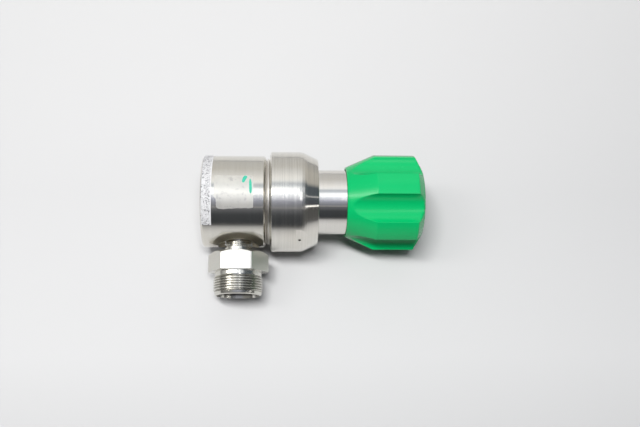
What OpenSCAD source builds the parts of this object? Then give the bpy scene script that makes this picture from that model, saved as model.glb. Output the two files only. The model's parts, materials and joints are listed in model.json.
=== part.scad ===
// Hand-set, spring-loaded flow control valve, lying on its side.
// Millimetres. The main axis is parallel to X with the knob at +X. The valve rests on
// its clamp ring and on the threaded end of its side fitting, both at Z = 0.
// Stations called u are measured along the main axis from the closed end of the body,
// and distances called h are measured along a port from the main axis.

/* [Body] */
// Outer diameter of the round body
body_d = 56.5; // [56:0.1:57.5]
// Length of the plain part of the body, from its closed end
body_len = 38.2; // [37.8:0.1:38.6]
// Edge break at the closed end
body_edge = 1.2; // [0.6:0.1:1.6]
// Length of ring thread that shows between body and clamp ring
thread_gap = 2.4; // [2.2:0.1:2.8]
// Station of the side ports
port_u = 21.8; // [21.6:0.1:22.2]
// Diameter of the spot face around the fitting
spot_d = 24.6; // [22:0.2:26]
// Distance of the spot face from the main axis
spot_h = 25.2; // [24.6:0.1:26]

/* [Clamp ring] */
// Outer diameter of the clamp ring
ring_d = 62; // [61:0.5:64]
// Length of the clamp ring
ring_len = 29.4; // [29:0.1:30.4]
// Length of its cylindrical part
ring_cyl = 20.1; // [19:0.1:22]
// Diameter at the end of its long chamfer
ring_end_d = 52.6; // [50:0.2:54]
// Distance across the two wrench flats
flat_af = 58.6; // [57.6:0.2:60.4]
// Length of the wrench flats
flat_len = 13.6; // [12:0.2:15]
// Diameter of the vent hole in one flat
vent_d = 1.7; // [1.2:0.1:2.4]

/* [Bonnet] */
// Outer diameter of the bonnet neck
neck_d = 40; // [39.6:0.1:40.2]
// Length of neck that shows between ring and knob
neck_show = 17.3; // [16:0.1:18.4]
// Diameter of the spring chamber
chamber_d = 33.2; // [32.6:0.1:34]

/* [Knob] */
// Largest diameter of the knob
knob_d = 59; // [57:0.5:60]
// Length of the knob
knob_len = 46.9; // [46.5:0.1:49]
// Diameter of the knob at its open rim
knob_rim_d = 44; // [43:0.2:46]
// Length of its flared part
knob_flare = 17.4; // [14:0.2:20]
// Diameter of its end face
knob_face_d = 43.4; // [40:0.2:45]
// Length of the steep chamfer before the end face
knob_end = 4.6; // [3:0.1:5.4]
// Number of flutes
flutes = 6; // [5:1:7]
// Radius of the flute cutter
flute_r = 10.2; // [9:0.2:11]
// Depth of the flutes
flute_depth = 6.1; // [4:0.1:6.5]

/* [Fitting] */
// Hexagon across flats
hex_af = 32; // [31:0.5:34]
// Height of the hexagon
hex_len = 11.7; // [11:0.1:12.4]
// Turn of the hexagon from square, in degrees
hex_turn = 1.9; // [-5:0.1:5]
// Outer diameter of the straight thread
fit_d = 30; // [29:0.5:31]
// Pitch of the straight thread
fit_pitch = 1.5; // [1.4:0.05:1.5]
// Outer diameter of the taper-thread shank
shank_d = 17; // [16.8:0.1:17.1]
// Diameter of the tube socket
tube_d = 22.1; // [21:0.1:22.6]
// Mouth diameter of the 24 degree cone
cone_d = 25.8; // [25.4:0.1:26]

/* [Mechanism] */
// Outer diameter of the load screw
screw_d = 12; // [11.6:0.1:12]
// Lead of the load screw
screw_lead = 1.25; // [1:0.05:1.25]
// Turns of the knob from backed out to fully in
knob_turns = 6; // [4:1:6]
// Wire diameter of the load spring
wire_d = 4; // [3:0.1:4]
// Total coils of the load spring
coils = 5.5; // [4.5:0.5:5.5]

/* [Hidden] */
$fn = 96;
clr = 0.05;

// stations along the main axis
ring_u = body_len + thread_gap;
ring_end = ring_u + ring_len;
knob_u = ring_end + neck_show;
total = knob_u + knob_len;
face_u = ring_u + 11.4;
flange_u = face_u + 1.2;
shoulder_u = flange_u + 9;
ceiling_u = knob_u + 12.7;
bonnet_end = knob_u + 22.7;
travel = screw_lead * knob_turns;
web_u = bonnet_end + travel + 1;

// clamp thread between body and ring
ring_thread_r = 26.5;
ring_pitch = 1.5;
ring_thread_n = 8;
ring_thread_u = body_len + 0.6;

// stations along the fitting
hex_h = spot_h + 7.3;
hex_end = hex_h + hex_len;
thread_h = hex_end + 3;
fit_n = 6;
fit_end = thread_h + fit_n * fit_pitch + 2.4;
crest_h = thread_h + (fit_n - 1) * fit_pitch + 0.5625 * fit_pitch;
end_r = fit_d / 2 - 1.5;

// droop of the fitting, at which its thread and the ring both touch Z = 0
ring_r = ring_d / 2;
droop = asin(ring_r / norm([crest_h, fit_d / 2])) - atan2(fit_d / 2, crest_h);
reach = max(fit_end * cos(droop) + end_r * sin(droop), crest_h * cos(droop) + fit_d / 2 * sin(droop));
axis_y = (reach - ring_r) / 2;

// directions around the main axis
port_a = droop - 90;
flat_a = port_a - 25;
flute_a = port_a - 69.8;
view_a = port_a - 76;

// ---------------------------------------------------------------- helpers

// places a shape whose local Z is the station u on the main axis
module on_axis() {
    translate([-total / 2, axis_y, ring_r]) rotate([0, 90, 0]) children();
}

// places a shape whose local Z is the distance h along a port
module at_port(a = port_a) {
    translate([-total / 2, axis_y, ring_r]) rotate([0, 90, 0])
        translate([0, 0, port_u]) rotate([0, 0, a]) rotate([0, 90, 0]) children();
}

// a turned shape from its [radius, station] outline
module turned(points) {
    rotate_extrude() polygon(points);
}

// a ring with a rectangular section
module tube(ro, ri, z0, z1) {
    rotate_extrude() polygon([[ri, z0], [ro, z0], [ro, z1], [ri, z1]]);
}

// a turned ring with small chamfers on its outer edges
module washer(ro, ri, z0, z1, c = 0.2) {
    rotate_extrude() polygon([[ri, z0], [ro - c, z0], [ro, z0 + c], [ro, z1 - c], [ro - c, z1], [ri, z1]]);
}

// ridges of a 60 degree thread, crest and root an eighth of the pitch wide
function ridges(rc, p, z0, n) = let (d = 0.6134 * p) [for (i = [0 : n - 1], k = [0 : 3])
    [k == 0 || k == 3 ? rc - d : rc, z0 + i * p + [0.0625, 0.4375, 0.5625, 0.9375][k] * p]];

// a threaded rod, solid to its axis
module thread_rod(rc, p, z0, n) {
    r = rc - 0.6134 * p;
    turned(concat([[0, z0], [r, z0]], ridges(rc, p, z0, n), [[r, z0 + n * p], [0, z0 + n * p]]));
}

// a hexagon prism with both ends chamfered at 30 degrees, from circles of k0 and k1 times its inner radius
module hex_bar(af, z0, z1, k0 = 0.985, k1 = 0.985, turn = 0) {
    ri = af / 2;
    rc = ri / cos(30);
    intersection() {
        translate([0, 0, z0]) rotate([0, 0, turn]) cylinder(r = rc, h = z1 - z0, $fn = 6);
        turned([[0, z0], [ri * k0, z0], [rc + 0.01, z0 + (rc - ri * k0) * tan(30)],
            [rc + 0.01, z1 - (rc - ri * k1) * tan(30)], [ri * k1, z1], [0, z1]]);
    }
}

// height of a coil's wire centre after t turns: closed end coils, open coils between
function coil_z(t, turns, rw, z0, z1) = let (c = 2.06 * rw, m = (z1 - z0 - 2 * rw - 2 * c) / (turns - 2))
    z0 + rw + c * min(t, 1) + m * max(0, min(t, turns - 1) - 1) + c * max(0, t - turns + 1);

// a helical compression spring
module coil(rm, rw, z0, z1, turns, seg, sides) {
    n = ceil(turns * seg);
    pts = [for (i = [0 : n], j = [0 : sides - 1]) let (t = turns * i / n, a = 360 * t, b = 360 * j / sides)
        [(rm + rw * cos(b)) * cos(a), (rm + rw * cos(b)) * sin(a), coil_z(t, turns, rw, z0, z1) + rw * sin(b)]];
    walls = [for (i = [0 : n - 1], j = [0 : sides - 1]) let (k = (j + 1) % sides)
        [i * sides + j, (i + 1) * sides + j, (i + 1) * sides + k, i * sides + k]];
    caps = [[for (j = [0 : sides - 1]) j], [for (j = [sides - 1 : -1 : 0]) n * sides + j]];
    polyhedron(pts, concat(walls, caps), convexity = 10);
}

// ---------------------------------------------------------------- fixed pieces

// turned body: bevelled edges, clamp thread, sensing cavity, seat bore, poppet chamber, side ports
module valve_body() {
    r = body_d / 2;
    rt = ring_thread_r - 0.6134 * ring_pitch;
    color([0.72, 0.71, 0.68]) difference() {
        on_axis() turned(concat(
            [[0, 0], [r - body_edge, 0], [r - body_edge * 0.3, body_edge * 0.3], [r, body_edge],
             [r, body_len - 1.2], [r - 0.9, body_len - 0.15], [r - 1.05, body_len], [rt, body_len]],
            ridges(ring_thread_r, ring_pitch, ring_thread_u, ring_thread_n),
            [[rt, face_u - 0.6], [rt - 0.6, face_u], [0, face_u]]));
        // bore for the bottom plug
        on_axis() turned([[0, -1], [12.85, -1], [12.85, 0], [12.05, 0.8], [12.05, 13], [0, 13]]);
        // poppet chamber, seat shoulder and seat bore
        on_axis() translate([0, 0, 12]) cylinder(r = 8.5, h = face_u - 16 - 12);
        on_axis() translate([0, 0, 30]) cylinder(r = 6, h = 12);
        on_axis() translate([0, 0, face_u - 13.5]) cylinder(r = 9.05, h = 12);
        // sensing cavity
        on_axis() translate([0, 0, face_u - 5.5]) cylinder(r = 19.5, h = 8);
        // inlet: spot face, port, drilling
        at_port() translate([0, 0, spot_h]) cylinder(d = spot_d, h = 20);
        at_port() translate([0, 0, 13]) cylinder(r = 8.6, h = 20);
        at_port() translate([0, 0, 4]) cylinder(r = 4, h = 12);
        // outlet: tapped port with a countersunk mouth, and the way up to the cavity
        at_port(port_a + 180) union() {
            translate([0, 0, 14]) cylinder(r = 8.4 - 0.6134 * 1.4, h = 20);
            thread_rod(8.4, 1.4, 16, 8);
            turned([[0, 26.3], [7.3, 26.3], [10.9, 29.9], [0, 29.9]]);
        }
        on_axis() rotate([0, 0, port_a + 180]) translate([16, 0, port_u]) cylinder(r = 2, h = 30);
    }
}

// plug that closes the bottom of the poppet chamber and guides the poppet
module bottom_plug() {
    color([0.66, 0.66, 0.65]) difference() {
        on_axis() turned(concat([[0, 0.4], [11, 0.4], [11.08, 0.9]], ridges(12, 1.5, 0.9, 5),
            [[11.95, 8.9], [11.95, 9.8], [10.1, 9.8], [10.1, 12.2], [11.95, 12.2], [11.95, 12.6],
             [11.6, 12.95], [5.2, 12.95], [5.2, 16.6], [4.8, 17], [0, 17]]));
        on_axis() translate([0, 0, 8.5]) cylinder(r = 3.06, h = 12);
        on_axis() translate([0, 0, -1]) cylinder(r = 14 / 2 / cos(30), h = 7.5, $fn = 6);
        on_axis() turned([[0, 0], [8.7, 0], [7.6, 1.1], [0, 1.1]]);
    }
}

module plug_o_ring() {
    color([0.08, 0.08, 0.08]) on_axis() rotate_extrude() translate([11.06, 11]) circle(r = 0.92);
}

// soft seat ring
module main_seat() {
    z = face_u - 13.48;
    color([0.72, 0.58, 0.38]) on_axis() difference() {
        turned([[0, z], [8.7, z], [8.9, z + 0.2], [8.9, z + 1.2], [7.55, z + 1.2], [7.55, z + 2.6],
            [8.9, z + 2.6], [8.9, z + 4], [8.8, z + 4.1], [0, z + 4.1]]);
        translate([0, 0, z - 1]) cylinder(r = 2.2, h = 10);
    }
}

module seat_o_ring() {
    color([0.08, 0.08, 0.08]) on_axis() rotate_extrude() translate([8.25, face_u - 13.48 + 1.9]) circle(r = 0.65);
}

// slotted ring that holds the seat down
module seat_retainer() {
    z = face_u - 9.33;
    color([0.66, 0.66, 0.65]) on_axis() difference() {
        washer(8.98, 3.2, z, z + 3.7, 0.3);
        translate([-12, -1, z + 2.2]) cube([24, 2, 4]);
    }
}

// sintered disc at the bottom of the inlet port
module inlet_filter() {
    color([0.55, 0.47, 0.33]) at_port() translate([0, 0, 13.1]) cylinder(r = 8.45, h = 2.5);
}

// hexagon fitting: taper-thread shank, hexagon, relief, straight thread, coned mouth
module inlet_fitting() {
    rs = shank_d / 2;
    root = fit_d / 2 - 0.6134 * fit_pitch;
    relief = fit_d / 2 - 0.85;
    color([0.72, 0.72, 0.69]) at_port() difference() {
        union() {
            turned(concat([[0, 15.8], [rs - 1.4, 15.8], [rs - 0.87, 16.3]], ridges(rs, 1.411, 16.4, 9),
                [[rs - 0.87, hex_h - 2.2], [rs - 0.3, hex_h - 1.4], [rs - 0.3, hex_h + 1], [0, hex_h + 1]]));
            hex_bar(hex_af, hex_h, hex_end, 0.985, 1.12, hex_turn);
            turned(concat([[0, hex_end - 1], [relief, hex_end - 1], [relief, thread_h - 0.6], [root, thread_h - 0.1]],
                ridges(fit_d / 2, fit_pitch, thread_h, fit_n),
                [[root, fit_end - 2.4], [fit_d / 2 - 0.6, fit_end - 2.05], [fit_d / 2 - 0.9, fit_end - 0.5], [end_r, fit_end], [0, fit_end]]));
        }
        translate([0, 0, 10]) cylinder(r = 5.4, h = 60);
        translate([0, 0, hex_end + 1]) cylinder(d = tube_d, h = 30);
        turned([[0, fit_end + 1], [cone_d / 2 + tan(12), fit_end + 1], [cone_d / 2 - 6 * tan(12), fit_end - 6], [0, fit_end - 6]]);
    }
}

// thin convoluted sensing diaphragm
module diaphragm() {
    z = face_u;
    t = 0.5;
    wave = [for (k = [0 : 8]) [15.9 + k * 0.4, -0.45 * (1 - cos(45 * k))]];
    color([0.78, 0.76, 0.70]) on_axis() turned(concat(
        [[3.15, z]], [for (p = wave) [p[0], z + p[1]]], [[24.3, z], [24.3, z + t]],
        [for (k = [8 : -1 : 0]) [wave[k][0], z + wave[k][1] + t]], [[3.15, z + t]]));
}

// low-friction ring between diaphragm and bonnet flange
module slip_ring() {
    color([0.92, 0.92, 0.90]) on_axis() tube(24.4, 19.6, face_u + 0.52, flange_u - 0.02);
}

// spring housing: flange under the ring, polished neck, threaded boss
module bonnet() {
    r = neck_d / 2;
    color([0.74, 0.74, 0.72]) on_axis() difference() {
        turned([[0, flange_u], [24.6, flange_u], [25, flange_u + 0.4], [25, shoulder_u - 0.5], [24.6, shoulder_u - 0.1],
            [r + 0.2, shoulder_u - 0.1], [r, shoulder_u + 0.1], [r, bonnet_end - 7], [r - 4.5, bonnet_end - 4],
            [12.2, bonnet_end - 3.6], [12.2, bonnet_end - 0.5], [11.7, bonnet_end], [0, bonnet_end]]);
        translate([0, 0, flange_u - 5]) cylinder(d = chamber_d, h = ceiling_u - flange_u + 5);
        translate([0, 0, ceiling_u - 1]) cylinder(r = screw_d / 2 + clr, h = 20);
        turned([[0, bonnet_end - 0.8], [screw_d / 2, bonnet_end - 0.8], [screw_d / 2 + 1, bonnet_end + 0.2], [0, bonnet_end + 0.2]]);
    }
}

// ring nut: thread, shoulder over the bonnet flange, long chamfer, wrench flats, vent
module clamp_ring() {
    color([0.72, 0.71, 0.68]) on_axis() difference() {
        turned([[0, ring_u], [ring_r - 2.2, ring_u], [ring_r, ring_u + 1.2], [ring_r, ring_u + ring_cyl],
            [ring_end_d / 2 + 0.3, ring_end - 0.2], [ring_end_d / 2, ring_end], [0, ring_end]]);
        thread_rod(ring_thread_r + 0.06, ring_pitch, ring_thread_u, ring_thread_n);
        turned([[0, ring_u - 1], [ring_thread_r + 1.2, ring_u - 1], [ring_thread_r - 0.6, ring_u + 0.8], [0, ring_u + 0.8]]);
        translate([0, 0, ring_thread_u + ring_thread_n * ring_pitch - 0.01])
            cylinder(r = 26, h = flange_u - ring_thread_u - ring_thread_n * ring_pitch - 0.4);
        translate([0, 0, flange_u - 1]) cylinder(r = 25.2, h = 10);
        translate([0, 0, shoulder_u - 1]) cylinder(r = neck_d / 2 + 0.3, h = 40);
        turned([[0, ring_end - 0.6], [neck_d / 2 + 0.3, ring_end - 0.6], [neck_d / 2 + 1.3, ring_end + 0.4], [0, ring_end + 0.4]]);
        for (a = [0, 180]) rotate([0, 0, flat_a + a])
            translate([flat_af / 2, -20, ring_end - flat_len]) cube([12, 40, flat_len + 5]);
        rotate([0, 0, flat_a]) translate([20, 0, ring_end - 11.3]) rotate([0, 90, 0]) cylinder(d = vent_d, h = 20);
    }
}

// spring between the two buttons, at the knob backed out
module load_spring() {
    color([0.42, 0.43, 0.46]) on_axis() coil(13.3, wire_d / 2, flange_u + 3.85, ceiling_u - 11.25, coils, 24, 8);
}

module poppet_spring() {
    color([0.5, 0.5, 0.52]) on_axis() coil(6.1, 0.5, 13.05, 23.95, 6, 16, 6);
}

// label strip around the closed end
module band_label() {
    r = body_d / 2;
    color([0.80, 0.81, 0.82]) on_axis() rotate([0, 0, view_a - 131]) rotate_extrude(angle = 160)
        polygon([[r + 0.02, body_edge + 0.1], [r + 0.12, body_edge + 0.1], [r + 0.12, 6.55], [r + 0.02, 6.55]]);
}

// paper label on the side of the body
module paper_label() {
    r = body_d / 2;
    color([0.83, 0.80, 0.72]) on_axis() rotate([0, 0, view_a - 34]) rotate_extrude(angle = 42)
        polygon([[r + 0.02, 8.1], [r + 0.12, 8.1], [r + 0.12, 31.3], [r + 0.02, 31.3]]);
}

// ---------------------------------------------------------------- valve stem

// poppet: guide stem, spring flange with three flats, cone, push stem
module poppet() {
    s = face_u - 13.48;
    k = tan(30);
    color([0.70, 0.70, 0.70]) on_axis() difference() {
        turned([[0, 12.4], [2.7, 12.4], [3, 12.7], [3, 14], [2.2, 14], [2.2, 15.2], [3, 15.2], [3, 24],
            [7, 24], [7, 26], [4.5, 26.6], [4.5, s - 0.03 - 2.3 / k], [1.5, s - 0.03 + 0.7 / k],
            [1.5, face_u - 2.9], [1.2, face_u - 2.6], [0, face_u - 2.6]]);
        for (a = [0, 120, 240]) rotate([0, 0, a]) translate([5.6, -6, 23]) cube([4, 12, 5]);
    }
}

// friction ring on the guide stem
module poppet_damper() {
    color([0.90, 0.90, 0.88]) on_axis() tube(3, 2.22, 14.05, 15.15);
}

// backing plate with the stud that goes through the diaphragm
module diaphragm_plate() {
    z = face_u;
    color([0.68, 0.68, 0.67]) on_axis() difference() {
        turned([[0, z - 2.5], [13.4, z - 2.5], [14, z - 1.9], [14, z - 0.25], [13.8, z - 0.05], [3, z - 0.05],
            [3, z + 6.6], [2.6, z + 7], [0, z + 7]]);
        translate([0, 0, z - 3]) cylinder(r = 2.2, h = 0.42);
    }
}

// lower spring button, screwed on the stud
module lower_spring_button() {
    z = face_u;
    color([0.68, 0.68, 0.67]) on_axis() difference() {
        turned([[0, z + 0.55], [15.2, z + 0.55], [15.9, z + 1.25], [15.9, z + 4.6], [15.5, z + 5], [10.6, z + 5],
            [10.6, z + 8], [9.6, z + 9], [0, z + 9]]);
        translate([0, 0, z]) cylinder(r = 3.05, h = 12);
        translate([0, 0, z + 5]) cylinder(r = 5.5, h = 12);
    }
}

// ---------------------------------------------------------------- load carriage

// upper spring button with a coned pocket for the ball
module upper_spring_button() {
    z = ceiling_u - 11.2;
    color([0.68, 0.68, 0.67]) on_axis() difference() {
        turned([[0, z - 4.5], [9.6, z - 4.5], [10.6, z - 3.5], [10.6, z], [15.5, z], [15.9, z + 0.4], [15.9, z + 3.2],
            [14.6, z + 4.5], [0, z + 4.5]]);
        turned([[0, z + 1.7], [3.9, z + 5.6], [0, z + 5.6]]);
    }
}

module thrust_ball() {
    color([0.80, 0.80, 0.82]) on_axis() translate([0, 0, ceiling_u - 5.2]) sphere(r = 3);
}

// ---------------------------------------------------------------- knob and screw

// fluted hand knob, hollow over the bonnet neck
module knob() {
    r = knob_d / 2;
    e = knob_u + knob_len;
    color([0.07, 0.72, 0.38]) on_axis() difference() {
        turned([[0, knob_u], [knob_rim_d / 2 - 0.5, knob_u], [knob_rim_d / 2, knob_u + 0.5], [r - 0.3, knob_u + knob_flare - 0.6],
            [r, knob_u + knob_flare + 0.4], [r, e - knob_end - 0.4], [r - 0.5, e - knob_end], [knob_face_d / 2 + 0.5, e - 0.3],
            [knob_face_d / 2 - 0.6, e], [0, e]]);
        for (i = [0 : flutes - 1]) rotate([0, 0, flute_a + i * 360 / flutes])
            translate([r - flute_depth + flute_r, 0, knob_u - 5]) cylinder(r = flute_r, h = knob_len + 10);
        translate([0, 0, knob_u - 1]) cylinder(r = neck_d / 2 + 0.5, h = web_u - knob_u + 1);
        translate([0, 0, web_u - 1]) cylinder(r = 19.1 / 2 / cos(30), h = 8.6, $fn = 6);
        translate([0, 0, web_u]) cylinder(r = 9, h = 20);
        translate([0, 0, e - 2.7]) cylinder(r = 12.3, h = 5);
    }
}

// metal insert that keys the knob to the screw
module knob_insert() {
    color([0.72, 0.58, 0.28]) on_axis() difference() {
        hex_bar(19, web_u + 0.3, web_u + 7.5);
        translate([0, 0, web_u - 1]) cylinder(r = 9.1 / 2 / cos(30), h = 12, $fn = 6);
    }
}

// load screw: ball pocket, stop groove, thread, hexagon end, tapped end
module adjusting_screw() {
    r = screw_d / 2;
    root = r - 0.6134 * screw_lead;
    z = ceiling_u;
    n = floor((web_u - z - 0.8) / screw_lead);
    color([0.62, 0.62, 0.62]) on_axis() difference() {
        union() {
            turned(concat([[0, z - 3.6], [root - 0.5, z - 3.6], [root, z - 3.1], [root, z]],
                ridges(r, screw_lead, z + 0.2, n), [[root, web_u - 0.1], [0, web_u - 0.1]]));
            translate([0, 0, web_u - 0.6]) cylinder(r = 9 / 2 / cos(30), h = 7.8, $fn = 6);
        }
        translate([0, 0, z - 5.2]) sphere(r = 3.04);
        tube(9, 4.5, z - 1.6, z - 0.3);
        translate([0, 0, web_u - 5.5]) cylinder(r = 2.55, h = 20);
    }
}

module stop_ring() {
    color([0.35, 0.35, 0.37]) on_axis() washer(8.4, 4.55, ceiling_u - 1.55, ceiling_u - 0.35, 0.15);
}

module knob_washer() {
    color([0.66, 0.66, 0.66]) on_axis() washer(8.6, 2.7, web_u + 7.65, web_u + 8.75, 0.2);
}

// low-head socket screw
module knob_screw() {
    z = web_u + 8.8;
    color([0.30, 0.30, 0.32]) on_axis() difference() {
        turned([[0, z - 13], [2.1, z - 13], [2.48, z - 12.6], [2.48, z], [4.25, z], [4.25, z + 3], [3.85, z + 3.4], [0, z + 3.4]]);
        translate([0, 0, z + 1.5]) cylinder(r = 4 / 2 / cos(30), h = 4, $fn = 6);
    }
}

// plug in the end of the knob
module knob_cap() {
    e = knob_u + knob_len;
    color([0.06, 0.64, 0.34]) on_axis() turned([[0, e - 2.6], [12.2, e - 2.6], [12.2, e - 0.6], [11.8, e - 0.2], [0, e - 0.2]]);
}

// ---------------------------------------------------------------- the part

valve_body();
bottom_plug();
plug_o_ring();
main_seat();
seat_o_ring();
seat_retainer();
inlet_filter();
inlet_fitting();
diaphragm();
slip_ring();
bonnet();
clamp_ring();
load_spring();
poppet_spring();
band_label();
paper_label();
poppet();
poppet_damper();
diaphragm_plate();
lower_spring_button();
upper_spring_button();
thrust_ball();
knob();
knob_insert();
adjusting_screw();
stop_ring();
knob_washer();
knob_screw();
knob_cap();
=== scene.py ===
import json
import math

import bmesh
import bpy
import numpy as np
from mathutils import Matrix, Vector, noise as mnoise


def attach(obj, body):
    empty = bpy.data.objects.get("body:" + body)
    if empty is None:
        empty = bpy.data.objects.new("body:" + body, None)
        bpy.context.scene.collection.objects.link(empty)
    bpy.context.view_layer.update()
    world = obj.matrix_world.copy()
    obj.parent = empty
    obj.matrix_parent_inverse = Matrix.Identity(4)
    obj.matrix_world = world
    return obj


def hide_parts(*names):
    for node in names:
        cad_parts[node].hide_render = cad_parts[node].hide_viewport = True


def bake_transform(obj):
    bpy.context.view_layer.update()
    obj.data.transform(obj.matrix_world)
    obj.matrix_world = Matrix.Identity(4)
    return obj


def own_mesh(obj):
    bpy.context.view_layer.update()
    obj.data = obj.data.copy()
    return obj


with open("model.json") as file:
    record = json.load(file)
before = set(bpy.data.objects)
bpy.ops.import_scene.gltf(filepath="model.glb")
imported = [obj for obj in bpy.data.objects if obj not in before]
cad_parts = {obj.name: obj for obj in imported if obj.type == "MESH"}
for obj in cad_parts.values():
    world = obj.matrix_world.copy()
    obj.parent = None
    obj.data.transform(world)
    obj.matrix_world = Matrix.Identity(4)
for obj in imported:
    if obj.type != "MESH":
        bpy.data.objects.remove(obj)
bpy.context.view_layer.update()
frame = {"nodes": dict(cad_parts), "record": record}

scene = bpy.context.scene
MM = 0.001

# ------------------------------------------------------------------ the frame's own numbers, in mm
TOTAL = 134.2
BODY_R, BODY_LEN, BODY_EDGE = 28.25, 38.2, 1.2
RING_U, RING_END, RING_R, RING_CYL, RING_END_R = 40.6, 70.0, 31.0, 20.1, 26.3
FLAT_AF, FLAT_LEN = 58.6, 13.6
FACE_U, FLANGE_U, SHOULDER_U = 52.0, 53.2, 62.2
NECK_R = 20.0
KNOB_U, KNOB_LEN, KNOB_R, KNOB_END = 87.3, 46.9, 29.5, 4.6
CEILING_U, BONNET_END = 100.0, 110.0
WEB_U = 118.5
PORT_U = 21.8
SPOT_H, HEX_H, HEX_END, THREAD_H, FIT_END, FIT_R = 25.2, 32.5, 44.2, 47.2, 58.6, 15.0
HEX_TURN, HEX_OUT = math.radians(1.9), 1.12
RT_R, RT_P, RT_U0, RT_U1 = 26.5, 1.5, 38.4, 51.0

CREST_H = THREAD_H + 5.5625 * 1.5
DROOP = math.asin(RING_R / math.hypot(CREST_H, FIT_R)) - math.atan2(FIT_R, CREST_H)
REACH = max(FIT_END * math.cos(DROOP) + (FIT_R - 1.5) * math.sin(DROOP), CREST_H * math.cos(DROOP) + FIT_R * math.sin(DROOP))
AXIS_Y = (REACH - RING_R) / 2
PORT_A = DROOP - math.pi / 2
VIEW_A = PORT_A - math.radians(76)
FLAT_A = PORT_A - math.radians(25)
FLUTE_A = PORT_A - math.radians(69.8)

M_AXIS = Matrix.Translation((-TOTAL / 2 * MM, AXIS_Y * MM, RING_R * MM)) @ Matrix.Rotation(math.pi / 2, 4, "Y")
M_PORT = M_AXIS @ Matrix.Translation((0, 0, PORT_U * MM)) @ Matrix.Rotation(PORT_A, 4, "Z") @ Matrix.Rotation(math.pi / 2, 4, "Y")
M_OUT = M_AXIS @ Matrix.Translation((0, 0, PORT_U * MM)) @ Matrix.Rotation(PORT_A + math.pi, 4, "Z") @ Matrix.Rotation(math.pi / 2, 4, "Y")

# ------------------------------------------------------------------ camera
ELEV = math.radians(58.7)
foot = Vector((-21.4, AXIS_Y, RING_R))
to_cam = Vector((0, -math.cos(ELEV), math.sin(ELEV)))
img_down = Vector((0, -math.sin(ELEV), -math.cos(ELEV)))
cam_at = foot + 479.0 * to_cam
look_at = foot + Vector((26.16, 0, 0)) + 7.02 * img_down
fwd = (look_at - cam_at).normalized()
right0 = (Vector((1, 0, 0)) - fwd.x * fwd).normalized()
up0 = right0.cross(fwd)
roll = math.radians(0.3)
right = math.cos(roll) * right0 + math.sin(roll) * up0
up = right.cross(fwd)
cam_data = bpy.data.cameras.new("camera")
cam_data.sensor_width = 36.0
cam_data.lens = 36.0 * 769.0 / 640.0
cam_data.clip_start, cam_data.clip_end = 0.01, 20.0
cam = bpy.data.objects.new("camera", cam_data)
scene.collection.objects.link(cam)
rot = Matrix((right, up, -fwd)).transposed().to_4x4()
cam.matrix_world = Matrix.Translation(cam_at * MM) @ rot
scene.camera = cam
scene.view_settings.view_transform = "Standard"
scene.view_settings.look = "None"


# ------------------------------------------------------------------ mesh helpers
def arc_points(pts, seg=6):
    """An outline of (r, z, rounding) corners as (r, z) points, each corner rounded."""
    out = []
    n = len(pts)
    for i, p in enumerate(pts):
        r, z = p[0], p[1]
        rad = p[2] if len(p) > 2 else 0.0
        if rad <= 0 or i == 0 or i == n - 1:
            out.append((r, z))
            continue
        a = Vector((pts[i - 1][0] - r, pts[i - 1][1] - z))
        b = Vector((pts[i + 1][0] - r, pts[i + 1][1] - z))
        la, lb = a.length, b.length
        a, b = a / la, b / lb
        ang = math.acos(max(-1.0, min(1.0, a.dot(b))))
        if ang > math.pi - 0.02:
            out.append((r, z))
            continue
        d = min(rad / math.tan(ang / 2), 0.45 * la, 0.45 * lb)
        rho = d * math.tan(ang / 2)
        c = Vector((r, z)) + (a + b).normalized() * (rho / math.sin(ang / 2))
        s = Vector((r, z)) + a * d - c
        e = Vector((r, z)) + b * d - c
        turn = math.atan2(s.x * e.y - s.y * e.x, s.dot(e))
        k = max(2, int(math.ceil(seg * abs(turn) / (math.pi / 2))) + 1)
        for j in range(k + 1):
            t = turn * j / k
            out.append((c.x + s.x * math.cos(t) - s.y * math.sin(t), c.y + s.x * math.sin(t) + s.y * math.cos(t)))
    return out


def supported(pts, near=0.12, step=None):
    """Adds points close to each end of a long straight stretch, and evenly along it when step is given."""
    out = [pts[0]]
    for p, q in zip(pts, pts[1:]):
        d = math.hypot(q[0] - p[0], q[1] - p[1])
        if d > 6 * near:
            k = max(1, int(math.ceil(d / step))) if step else 1
            ts = [near / d] + [i / k for i in range(1, k)] + [1 - near / d]
            for t in ts:
                out.append((p[0] + (q[0] - p[0]) * t, p[1] + (q[1] - p[1]) * t))
        out.append(q)
    return out


def mesh_object(name, verts, faces, matrix=None):
    me = bpy.data.meshes.new(name)
    me.from_pydata([tuple(v) for v in verts], [], faces)
    me.update()
    ob = bpy.data.objects.new(name, me)
    scene.collection.objects.link(ob)
    if matrix is not None:
        ob.matrix_world = matrix
    return ob


def grid_faces(m, n, loop_rows, wrap=True):
    faces = []
    rows = m if loop_rows else m - 1
    cols = n if wrap else n - 1
    for i in range(rows):
        a, b = i * n, ((i + 1) % m) * n
        for j in range(cols):
            k = (j + 1) % n
            faces.append((a + j, a + k, b + k, b + j))
    return faces


def tidy(ob, merge=2e-7, sharp=32.0):
    bm = bmesh.new()
    bm.from_mesh(ob.data)
    bmesh.ops.remove_doubles(bm, verts=bm.verts, dist=merge)
    bmesh.ops.dissolve_degenerate(bm, edges=bm.edges, dist=merge)
    bmesh.ops.recalc_face_normals(bm, faces=bm.faces)
    bm.to_mesh(ob.data)
    bm.free()
    for p in ob.data.polygons:
        p.use_smooth = True
    if sharp:
        ob.data.set_sharp_from_angle(angle=math.radians(sharp))
    return ob


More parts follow.
